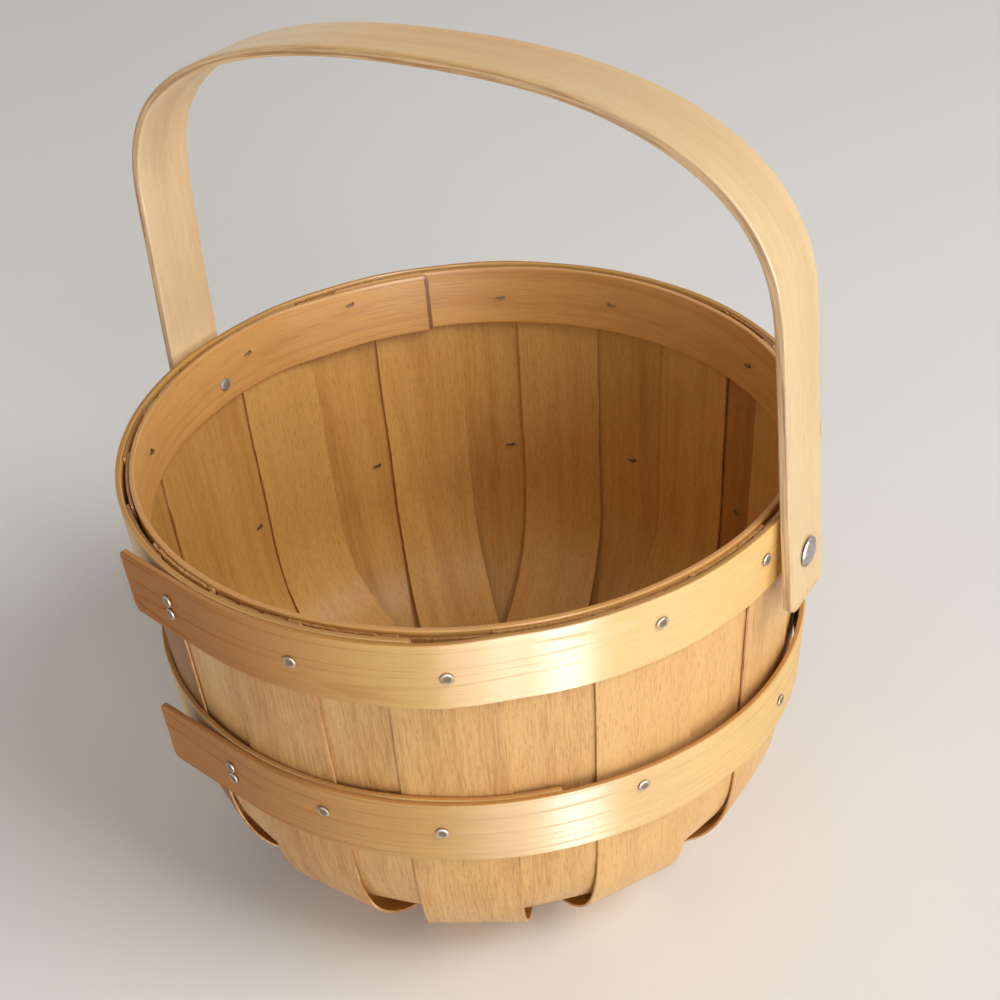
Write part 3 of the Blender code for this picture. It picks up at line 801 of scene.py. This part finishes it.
@dataclass
class VeneerWall:
    """Twelve strips of thin veneer that cross under the bottom and run up the wall on both sides."""

    plan: WallPlan
    width: float = 0.040
    stack_gap: float = 0.00045
    bend_top: float = 0.078
    bend_reach: float = 0.078
    bend_exponent: float = 2.5
    flattened_at: float = math.radians(42)
    rim_inset: float = 0.0014
    rim_wander: float = 0.0004
    rim_turn: float = 2.4
    ragged_reach: float = 0.010
    tooth_height: float = 0.0003
    splinter_depth: float = 0.0007
    end_browning: float = 1.8
    unevenness: float = 0.00010
    even_reach: float = 0.09
    edge_wander: float = 0.00025
    wall_waves: tuple[float, ...] = (0.11, 0.07, 0.045)
    edge_waves: tuple[float, ...] = (0.13, 0.06)
    tooth_waves: tuple[float, ...] = (0.0023, 0.0031, 0.0047)
    notch_waves: tuple[float, ...] = (0.0061, 0.0093)
    rounding: float = 0.0003
    corner: float = 0.0004
    end_cut: float = 0.2
    spacing: tuple[float, float, float] = (0.0032, 0.0009, 0.011)
    across: int = 64
    bend_steps: int = 400
    straight_steps: int = 20
    first_seed: int = 100
    seed_step: int = 7

    def arm_table(self, lay: Lay, rim_radius: float) -> dict[str, np.ndarray]:
        """Tabulates one arm's middle line by the length travelled from the middle of the floor.

        The line is a flat floor, a quarter of a superellipse and a straight wall that leans out.

        Args:
            lay: The strip's lay, whose level sets the floor's height.
            rim_radius: Rim radius of the strip's middle.

        Returns:
            Arrays of length, distance out, height, their slopes and the hollow share.
        """
        plan = self.plan
        floor = lay.level * (plan.strip_thickness + self.stack_gap) + plan.strip_thickness / 2
        steps = self.straight_steps
        angle = np.linspace(np.pi / 2, 0, self.bend_steps)
        across, along = superellipse(angle, self.bend_exponent, self.bend_exponent)
        bend_height = self.bend_top - (self.bend_top - floor) * along
        bend_out = plan.at(rim_radius, bend_height) - self.bend_reach * (1 - across)
        wall_height = np.linspace(self.bend_top, plan.rim_height + self.ragged_reach, steps)[1:]
        height = np.concatenate([np.full(steps, floor), bend_height, wall_height])
        floor_out = np.linspace(-bend_out[0], bend_out[0], steps + 1)[:-1]
        out = np.concatenate([floor_out, bend_out, plan.at(rim_radius, wall_height)])
        hollow = np.concatenate([np.zeros(steps), 1 - ease(angle / self.flattened_at), np.ones(steps - 1)])
        length = np.concatenate([[0], np.cumsum(np.hypot(np.diff(out), np.diff(height)))])
        length -= np.interp(0.0, out[:steps], length[:steps])
        slopes = np.gradient(out, length), np.gradient(height, length)
        return {"length": length, "out": out, "height": height, "slope_out": slopes[0],
                "slope_up": slopes[1], "hollow": hollow}

    def middle(self, lay: Lay, rim_radius: float, seed: int) -> Middle:
        """Gives the bent middle surface of a strip.

        A point lies on the arm's middle line, moved sideways by its place across. On the wall it is
        drawn in by the sagitta of the wall's circle, square to the line, so that the strip is hollow.

        Args:
            lay: The strip's lay.
            rim_radius: Rim radius of the strip's middle.
            seed: Seed of the strip's unevenness.

        Returns:
            The function from places along and across to points.
        """
        table = self.arm_table(lay, rim_radius)
        ripple = Ripple(seed, self.wall_waves)
        heading = math.radians(lay.heading)
        turn = np.array([[math.cos(heading), -math.sin(heading)], [math.sin(heading), math.cos(heading)]])

        def place(along: np.ndarray, across: np.ndarray) -> np.ndarray:
            """Points of the strip's bent middle surface."""
            side = np.where(along >= 0, 1.0, -1.0)
            travelled = np.abs(along)
            out, height, slope_out, slope_up, hollow = (
                np.interp(travelled, table["length"], table[key])
                for key in ("out", "height", "slope_out", "slope_up", "hollow")
            )
            sideways = lay.shift + across
            curve = self.plan.at(rim_radius, np.maximum(height, self.bend_top))
            sag = hollow * (curve - np.sqrt(curve**2 - sideways**2))
            sag = sag + self.unevenness * ripple.at(along, across) * ease(travelled / self.even_reach)
            out = side * (out - sag * slope_up)
            flat = np.stack([out, sideways], axis=-1) @ turn.T
            return np.concatenate([flat, (height + sag * slope_out)[..., None]], axis=-1)

        return place

    def arm_length(self, lay: Lay, rim_radius: float, number: int) -> float:
        """Length of an arm from the middle of the floor to its end, a little under the hoops' edges."""
        table = self.arm_table(lay, rim_radius)
        steps = self.straight_steps
        inset = self.rim_inset + self.rim_wander * math.sin(self.rim_turn * number)
        top = self.plan.rim_height - inset
        return float(np.interp(top, table["height"][steps:], table["length"][steps:]))

    def ragged(self, start: float, end: float, seed: int) -> Callable[[np.ndarray, np.ndarray], np.ndarray]:
        """How far the torn ends of the strip are pushed along, fading out within the ragged reach."""
        teeth = Ripple(seed + 1, self.tooth_waves)
        notch = Ripple(seed + 2, self.notch_waves)

        def push(along: np.ndarray, across: np.ndarray) -> np.ndarray:
            """How far each place is pushed along the strip."""
            side = np.where(along > (start + end) / 2, 1.0, -1.0)
            to_end = np.where(side > 0, end - along, along - start)
            tear = self.tooth_height * (0.5 - np.abs(teeth.at(across, side * 3.0)))
            tear = tear - self.splinter_depth * ease((notch.at(across, side * 5.0) - 0.55) / 0.4)
            return side * tear * ease(1 - to_end / self.ragged_reach)

        return push

    def build(self, dresser: Dresser) -> None:
        """Makes the twelve strips."""
        for layer in Layer:
            prefix = layer.value[0]
            outer = layer is Layer.OUTER
            rim_radius = self.plan.outer_strip_radius if outer else self.plan.inner_strip_radius
            for order, lay in enumerate(layer.lays(), start=1):
                seed = self.first_seed + lay.level * self.seed_step
                start = -self.arm_length(lay, rim_radius, 2 * lay.level)
                end = self.arm_length(lay, rim_radius, 2 * lay.level + 1)
                stations = spaced(start, end, *self.spacing)
                half = self.width / 2 + self.edge_wander * Ripple(seed, self.edge_waves).at(stations)
                section = Section(self.plan.strip_thickness, self.rounding, self.across)
                ragged = self.ragged(start, end, seed)
                blank = Blank(section, stations, half, self.corner, ragged, self.end_cut)
                name = f"{prefix}_veneer_{order}"
                to_end = np.minimum(stations - start, end - stations)
                browned = self.end_browning * (1 - ease(to_end / self.plan.strip_thickness))
                # the inside tone is partly painted shade on the outer strips' recessed inner faces
                face = np.where(section.loop()[2] > 0, lay.inside, lay.tone)
                tone = face + browned[:, None]
                piece = blank.bend(name, self.middle(lay, rim_radius, seed), seed, tone)
                dresser.dress(piece, Finish.STRIP, "basket", f"{prefix}_{order}")


@dataclass
class Hoop:
    """A band wound clockwise from its start, over or inside itself for the last stretch, in degrees."""

    name: str
    rim_radius: float
    start: float
    end: float
    step: float
    ramp: float
    free_angle: float
    tone: float
    slack: float = 0.0
    finish: Finish = Finish.HOOP
    # how far the tone rises towards the free end, for browning and painted shade
    browning_and_shade: float = 0.0
    darkening_reach: float = 0.26
    end_cut: float = 0.8
    overlap_clearance: float = 1.5
    rounding: float = 0.0006
    corner: float = 0.0025
    sway: float = 0.0002
    edge_wander: float = 0.00015
    sway_waves: tuple[float, ...] = (0.16, 0.09, 0.05)
    edge_waves: tuple[float, ...] = (0.1, 0.06)
    spacing: tuple[float, float, float] = (0.0032, 0.0003, 0.0036)
    across: int = 18

    @property
    def travel(self) -> float:
        """How far the band goes, a full turn and the lap."""
        return 360 + (self.start - self.end) % 360

    def radius(self, travelled: np.ndarray) -> np.ndarray:
        """Rim radius of the band's middle after a travel.

        It eases over its own start, standing off by its slack halfway up. Its free end runs straight,
        which is the radius over the cosine of the angle past the last touch.

        Args:
            travelled: Degrees from the band's start.

        Returns:
            The radius that the band would have at the rim.
        """
        climb = 1 + (travelled - 360 + self.overlap_clearance) / self.ramp
        lifted = self.rim_radius + self.step * ease(climb) + self.slack * ease(1 - np.abs(2 * climb - 1))
        past = np.maximum(travelled - (self.travel - self.free_angle), 0.0)
        return lifted / np.cos(np.radians(past))

    def build(self, plan: WallPlan, dresser: Dresser, seed: int) -> None:
        """Winds the band's blank: radius times cosine and sine of the azimuth, and the height.

        Args:
            plan: The wall that the hoop lies on.
            dresser: Gives the finish.
            seed: Seed of the wood's pattern and unevenness.
        """
        low, high = (corner.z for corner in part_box(self.name))
        width = high - low
        metres = math.radians(1) * self.rim_radius
        ripple = Ripple(seed, self.sway_waves)

        def middle(along: np.ndarray, across: np.ndarray) -> np.ndarray:
            """Points of the wound band's middle surface."""
            travelled = along / metres
            height = (low + high) / 2 + across + self.sway * ripple.at(along, 0.0)
            radius = plan.at(self.radius(travelled), height)
            azimuth = np.radians(self.start - travelled)
            return np.stack([radius * np.cos(azimuth), radius * np.sin(azimuth), height], axis=-1)

        stations = spaced(0.0, self.travel * metres, *self.spacing)
        edge = Ripple(seed + 1, self.edge_waves)
        half = width / 2 - self.sway + self.edge_wander * edge.at(stations)
        section = Section(plan.hoop_thickness, self.rounding, self.across)
        blank = Blank(section, stations, half, self.corner, end_cut=self.end_cut)
        # darker towards the free end: browning of the end and painted shade on the basket's dark left side,
        # where the outer hoops' free ends lie
        tone = self.tone + self.browning_and_shade * ease(1 - (stations[-1] - stations) / self.darkening_reach)
        piece = blank.bend(self.name + "_band", middle, seed, tone[:, None])
        dresser.dress(piece, self.finish, "basket", self.name)


def make_hoops(plan: WallPlan) -> list[Hoop]:
    """The two outer hoops and the one inside the rim."""
    return [
        # the outer hoops' free ends lie on the dark left side: their darkening is partly browning and partly
        # painted shade
        Hoop("top_hoop", plan.top_hoop_radius, -64.7, -116.0, plan.hoop_pitch, 14.0, 15.5, -0.4,
             browning_and_shade=2.6),
        Hoop("lower_hoop", plan.top_hoop_radius, -45.0, -117.0, plan.hoop_pitch, 78.0, 18.5, 0.0, 0.0022,
             browning_and_shade=1.9),
        # painted shadow: a thin dark line at the inner hoop's lapped end, with the end's cut colour mostly
        # left off
        Hoop("inner_hoop", plan.inner_hoop_radius, 151.0, 131.0, -plan.hoop_pitch, 14.0, 0.0, 0.25,
             finish=Finish.INNER_HOOP, browning_and_shade=4.0, darkening_reach=0.003, end_cut=0.2),
    ]


@dataclass
class TackSet:
    """Steel tacks driven through a hoop and the strips, their tips clinched inside."""

    plan: WallPlan
    head_radius: float = 0.0025
    head_height: float = 0.0008
    shank_radius: float = 0.0006
    clinch_radius: float = 0.0011
    tip_length: float = 0.0032
    sides: int = 24

    def profile(self, grip: float) -> list[tuple[float, float]]:
        """Outline from the middle of the head to the point of the tip, before the tip is bent.

        Args:
            grip: How much wood the shank goes through.

        Returns:
            Points of radius and height over the seat.
        """
        seat, head, rim = self.plan.layer_gap, self.head_height, self.head_radius
        bend_start = -grip - self.plan.layer_gap
        bend_length = self.clinch_radius * math.pi / 2
        shank = [(self.shank_radius, bend_start - bend_length * share) for share in np.linspace(0, 1, 6)]
        point = bend_start - bend_length
        return [
            (0.0, seat + head * 0.82),
            (rim * 0.30, seat + head * 0.82),
            (rim * 0.58, seat + head * 0.88),
            (rim * 0.78, seat + head),
            (rim * 0.90, seat + head * 0.93),
            (rim * 0.98, seat + head * 0.66),
            (rim, seat + head * 0.36),
            (rim * 0.94, seat + head * 0.08),
            (rim * 0.80, seat - self.plan.layer_gap),
            (self.shank_radius, seat - self.plan.layer_gap),
            *shank,
            (self.shank_radius * 0.6, point - self.tip_length * 0.6),
            (0.0, point - self.tip_length),
        ]

    def clinch(self, points: np.ndarray, grip: float) -> np.ndarray:
        """Bends the tip over: past the wood, length along the shank becomes angle on the clinch radius.

        Args:
            points: The straight tack's points.
            grip: How much wood the shank goes through.

        Returns:
            The bent tack's points.
        """
        bend_start = -grip - self.plan.layer_gap
        beyond = np.maximum(bend_start - points[:, 2], 0.0)
        angle = np.minimum(beyond / self.clinch_radius, np.pi / 2)
        straight = beyond - angle * self.clinch_radius
        inside = self.clinch_radius - points[:, 0]
        bent = points.copy()
        past = beyond > 0
        bent[past, 0] = (self.clinch_radius - inside * np.cos(angle) + straight)[past]
        bent[past, 2] = (bend_start - inside * np.sin(angle))[past]
        return bent

    def build(self, dresser: Dresser) -> None:
        """Makes a tack where each tack node's crown and tip are."""
        for node in sorted(name for name in frame["nodes"] if "_tack_" in name):
            points = mesh_points(frame["nodes"][node])
            distance = np.hypot(points[:, 0], points[:, 1])
            crown = points[distance.argmax()]
            azimuth = math.atan2(crown[1], crown[0])
            seat = float(distance.max()) - self.head_height - self.plan.layer_gap
            grip = seat - float(distance.min()) - 2 * self.plan.layer_gap
            grip = grip - self.clinch_radius - self.shank_radius
            piece = turned(node + "_steel", self.profile(grip), self.sides)
            bent = self.clinch(mesh_points(piece), grip)
            piece.data.vertices.foreach_set("co", bent.astype(np.float32).ravel())
            piece.data.update()
            tip = points[distance < distance.min() + self.shank_radius].mean(axis=0)
            out = Vector((math.cos(azimuth), math.sin(azimuth), -self.plan.taper)).normalized()
            along = Vector((-math.sin(azimuth), math.cos(azimuth), 0.0))
            along *= math.copysign(1.0, along.dot(Vector(tip)))
            place = Matrix((along, out.cross(along), out)).transposed().to_4x4()
            place.translation = Vector((math.cos(azimuth) * seat, math.sin(azimuth) * seat, crown[2]))
            piece.data.transform(place)
            dresser.dress(piece, Finish.STEEL, "basket", node)


@dataclass
class RivetPair:
    """The two rivets that carry the handle, with broad domed heads."""

    head_radius: float = 0.0059
    head_height: float = 0.0018
    shank_radius: float = 0.0020
    clench_radius: float = 0.0030
    clench_height: float = 0.0008
    sides: int = 48

    def build(self, dresser: Dresser) -> None:
        """Makes a rivet along X where each rivet node is, its head outside."""
        for node, side in (("rivet_right", 1), ("rivet_left", -1)):
            points = mesh_points(frame["nodes"][node])
            outside = float(np.abs(points[:, 0]).max())
            inside = float(np.abs(points[:, 0]).min())
            angle = np.linspace(0, np.pi / 2, 9)[1:-1]
            seat = outside - self.head_height
            dome = [(self.head_radius * math.sin(turn), seat + self.head_height * math.cos(turn) ** 0.8)
                    for turn in angle]
            profile = [
                (0.0, outside),
                *dome,
                (self.head_radius, seat + 0.0001),
                (self.head_radius * 0.95, seat - 0.0002),
                (self.shank_radius, seat - 0.0002),
                (self.shank_radius, inside + self.clench_height),
                (self.clench_radius, inside + self.clench_height * 0.9),
                (self.clench_radius * 0.8, inside + 0.0001),
                (self.clench_radius * 0.3, inside),
                (0.0, inside),
            ]
            piece = turned(node + "_steel", profile, self.sides)
            place = Matrix.Rotation(side * math.pi / 2, 4, "Y")
            place.translation = Vector((0.0, 0.0, pivot_height()))
            piece.data.transform(place)
            dresser.dress(piece, Finish.RIVET_STEEL, "basket", node)


@dataclass
class BentHandle:
    """A flat strap bent over the basket and hung on the rivets, more loosely on the left."""

    plan: WallPlan
    width: float = 0.030
    thickness: float = 0.004
    standoff: float = 0.0022
    left_standoff: float = 0.0055
    rise: float = 0.170
    shoulder: float = 0.089
    draw_in: float = 0.069
    left_draw_in: float = 0.034
    tail: float = 0.020
    exponents: tuple[float, float] = (2.38, 2.70)
    corner: float = 0.0035
    rounding: float = 0.0011
    crown_darkening: float = 1.7
    crown_reach: float = 0.17
    sway: float = 0.0003
    edge_wander: float = 0.0002
    sway_waves: tuple[float, ...] = (0.17, 0.08)
    edge_waves: tuple[float, ...] = (0.15, 0.07)
    spacing: tuple[float, float, float] = (0.003, 0.0004, 0.0044)
    leg_steps: int = 60
    arch_steps: int = 240
    even_steps: int = 500
    smoothing: int = 13
    seed: int = 911

    def half(self, side: int) -> tuple[np.ndarray, np.ndarray]:
        """Half of the strap's middle line: a leg that leans in, then a quarter of a superellipse.

        Args:
            side: 1 for the right half and -1 for the left.

        Returns:
            Places along X and heights over the pivot, from the lower end to the crown.
        """
        crown = self.rise - self.thickness / 2
        legs = {1: (self.standoff, self.draw_in), -1: (self.left_standoff, self.left_draw_in)}
        standoff, draw_in = legs[side]

        def reach(rise: np.ndarray | float) -> np.ndarray | float:
            """Distance out from the basket's middle at a height over the pivot."""
            return self.plan.rim_radius + standoff + self.thickness / 2 - draw_in * rise

        leg_rise = np.linspace(-self.tail, self.shoulder, self.leg_steps)[:-1]
        inwards, upwards = superellipse(np.linspace(0, np.pi / 2, self.arch_steps), *self.exponents)
        arch_rise = self.shoulder + (crown - self.shoulder) * upwards
        arch_reach = reach(arch_rise) - reach(crown) * (1 - inwards)
        return side * np.concatenate([reach(leg_rise), arch_reach]), np.concatenate([leg_rise, arch_rise])

    def build(self, dresser: Dresser) -> None:
        """Bends the strap's blank along the middle line, which runs from the left end to the right one."""
        left, right = self.half(-1), self.half(1)
        out = np.concatenate([left[0], right[0][::-1][1:]])
        up = np.concatenate([left[1], right[1][::-1][1:]]) + pivot_height()
        length = np.concatenate([[0], np.cumsum(np.hypot(np.diff(out), np.diff(up)))])
        even = np.linspace(0, length[-1], self.even_steps)
        kernel = np.hanning(self.smoothing) / np.hanning(self.smoothing).sum()
        smooth = []
        for axis in (out, up):
            padded = np.pad(np.interp(even, length, axis), self.smoothing // 2, "reflect", reflect_type="odd")
            smooth.append(np.convolve(padded, kernel, "valid"))
        ripple = Ripple(self.seed, self.sway_waves)

        def middle(along: np.ndarray, across: np.ndarray) -> np.ndarray:
            """Points of the strap's middle surface, straight on past both ends."""
            held = np.clip(along, 0, length[-1])
            beyond = along - held
            x = np.interp(held, even, smooth[0])
            z = np.interp(held, even, smooth[1]) + beyond * np.where(along > length[-1] / 2, -1.0, 1.0)
            return np.stack([x, across + self.sway * ripple.at(along, 0.0), z], axis=-1)

        stations = spaced(0.0, length[-1], *self.spacing)
        edge = Ripple(self.seed + 1, self.edge_waves)
        half = self.width / 2 + self.edge_wander * edge.at(stations) - self.edge_wander
        blank = Blank(Section(self.thickness, self.rounding, 20, 4), stations, half, self.corner)
        # darker and yellower towards the crown
        tone = self.crown_darkening * ease(1 - np.abs(stations - length[-1] / 2) / self.crown_reach) - 0.2
        piece = blank.bend("handle_strap", middle, self.seed + 2, tone[:, None])
        dresser.dress(piece, Finish.HANDLE, "handle", "handle")


@dataclass
class Studio:
    """Pale floor, soft light and a camera at the photograph's angle."""

    camera_place: tuple[float, float, float] = (0.2972, -0.4153, 0.5034)
    camera_right: tuple[float, float, float] = (0.8527, 0.5188, -0.0621)
    camera_up: tuple[float, float, float] = (-0.2540, 0.5155, 0.8184)
    lens: float = 53.4
    shift: tuple[float, float] = (-0.013, 0.001)
    lamp_distance: float = 3.0
    lamp_target: float = 0.12
    floor_colour: Rgb = srgb(236, 234, 231)
    floor_reach: float = 3.0
    floor_drop: float = 0.0002
    room_light: Rgb = (1.0, 0.96, 0.9)
    room_strength: float = 0.34

    def camera(self) -> None:
        """Sets the camera where the photograph was taken from."""
        right = Vector(self.camera_right).normalized()
        up = Vector(self.camera_up)
        up = (up - right * up.dot(right)).normalized()
        data = bpy.data.cameras.new("camera")
        data.lens = self.lens
        data.sensor_width = 36.0
        data.shift_x, data.shift_y = self.shift
        data.clip_start = 0.01
        camera = bpy.data.objects.new("camera", data)
        place = Matrix((right, up, right.cross(up))).transposed().to_4x4()
        place.translation = Vector(self.camera_place)
        camera.matrix_world = place
        bpy.context.scene.collection.objects.link(camera)
        bpy.context.scene.camera = camera

    def lamp(self, name: str, azimuth: float, elevation: float, size: tuple[float, float], power: float,
             only_gleams: bool = False) -> None:
        """Adds a soft lamp that faces the basket from the lamps' common distance.

        Args:
            name: The lamp's name.
            azimuth: Degrees anticlockwise from +X.
            elevation: Degrees over the floor.
            size: Width and height, in metres.
            power: Watts.
            only_gleams: Whether it only shows as a gleam on varnish and metal.
        """
        data = bpy.data.lights.new(name, "AREA")
        data.energy = power
        data.shape = "RECTANGLE"
        data.size, data.size_y = size
        lamp = bpy.data.objects.new(name, data)
        around, over = math.radians(azimuth), math.radians(elevation)
        level = math.cos(over)
        towards = Vector((math.cos(around) * level, math.sin(around) * level, math.sin(over)))
        lamp.location = towards * self.lamp_distance + Vector((0.0, 0.0, self.lamp_target))
        lamp.rotation_euler = towards.to_track_quat("Z", "Y").to_euler()
        lamp.visible_diffuse = not only_gleams
        bpy.context.scene.collection.objects.link(lamp)

    def floor(self) -> None:
        """Lays a wide pale floor with a faint mottle under the basket."""
        corner = np.array([[-1, -1], [1, -1], [1, 1], [-1, 1]]) * self.floor_reach
        points = np.concatenate([corner, np.full((4, 1), -self.floor_drop)], axis=1)
        floor = new_mesh("floor", points, [[0, 1, 2, 3]])
        graph = Graph(bpy.data.materials.new("floor_paint"))
        place = graph.node("ShaderNodeTexCoord").outputs["Object"]
        mottle = graph.noise(place, (2.0, 2.0, 2.0), 3.0)
        darker = tuple(share * 0.96 for share in self.floor_colour)
        colour = graph.mix(mottle, self.floor_colour, darker)
        floor.data.materials.append(graph.finish(Base_Color=colour, Roughness=0.6))

    def surroundings(self) -> None:
        """Lights the scene evenly from all round, white where the camera or a mirror sees it."""
        graph = Graph(bpy.data.worlds.new("studio"))
        graph.tree.nodes.clear()
        path = graph.node("ShaderNodeLightPath").outputs
        seen = graph.node("ShaderNodeBackground", None, {"Color": (1.0, 1.0, 1.0, 1.0)})
        light = {"Color": (*self.room_light, 1.0), "Strength": self.room_strength}
        lit = graph.node("ShaderNodeBackground", None, light)
        straight = Wire(graph, path["Is Camera Ray"])
        for kind in ("Is Glossy Ray", "Is Transmission Ray"):
            straight = straight.math("MAXIMUM", Wire(graph, path[kind]))
        inputs = {0: straight, 1: lit.outputs[0], 2: seen.outputs[0]}
        mixed = graph.node("ShaderNodeMixShader", None, inputs)
        graph.node("ShaderNodeOutputWorld", None, {"Surface": mixed.outputs[0]})
        bpy.context.scene.world = graph.owner

    def build(self) -> None:
        """Sets up the whole studio."""
        self.camera()
        self.floor()
        self.surroundings()
        self.lamp("low_window_lamp", -36.0, 14.0, (0.9, 1.2), 26.5)
        self.lamp("window_gleam", -33.5, 7.0, (0.6, 0.4), 145.0, only_gleams=True)
        self.lamp("wide_window_gleam", -49.0, 7.0, (1.5, 0.4), 65.0, only_gleams=True)
        self.lamp("high_window_lamp", 5.0, 45.0, (1.5, 1.5), 57.0)
        bpy.context.scene.view_settings.view_transform = "Standard"


def main() -> None:
    """Builds the basket's pieces in order, then the studio."""
    logging.basicConfig(level=logging.INFO, format="%(name)s: %(message)s")
    plan = WallPlan()
    dresser = Dresser()
    VeneerWall(plan).build(dresser)
    for number, hoop in enumerate(make_hoops(plan)):
        hoop.build(plan, dresser, 500 + 13 * number)
    TackSet(plan).build(dresser)
    RivetPair().build(dresser)
    BentHandle(plan).build(dresser)
    Studio().build()


if __name__ == "__main__":
    main()
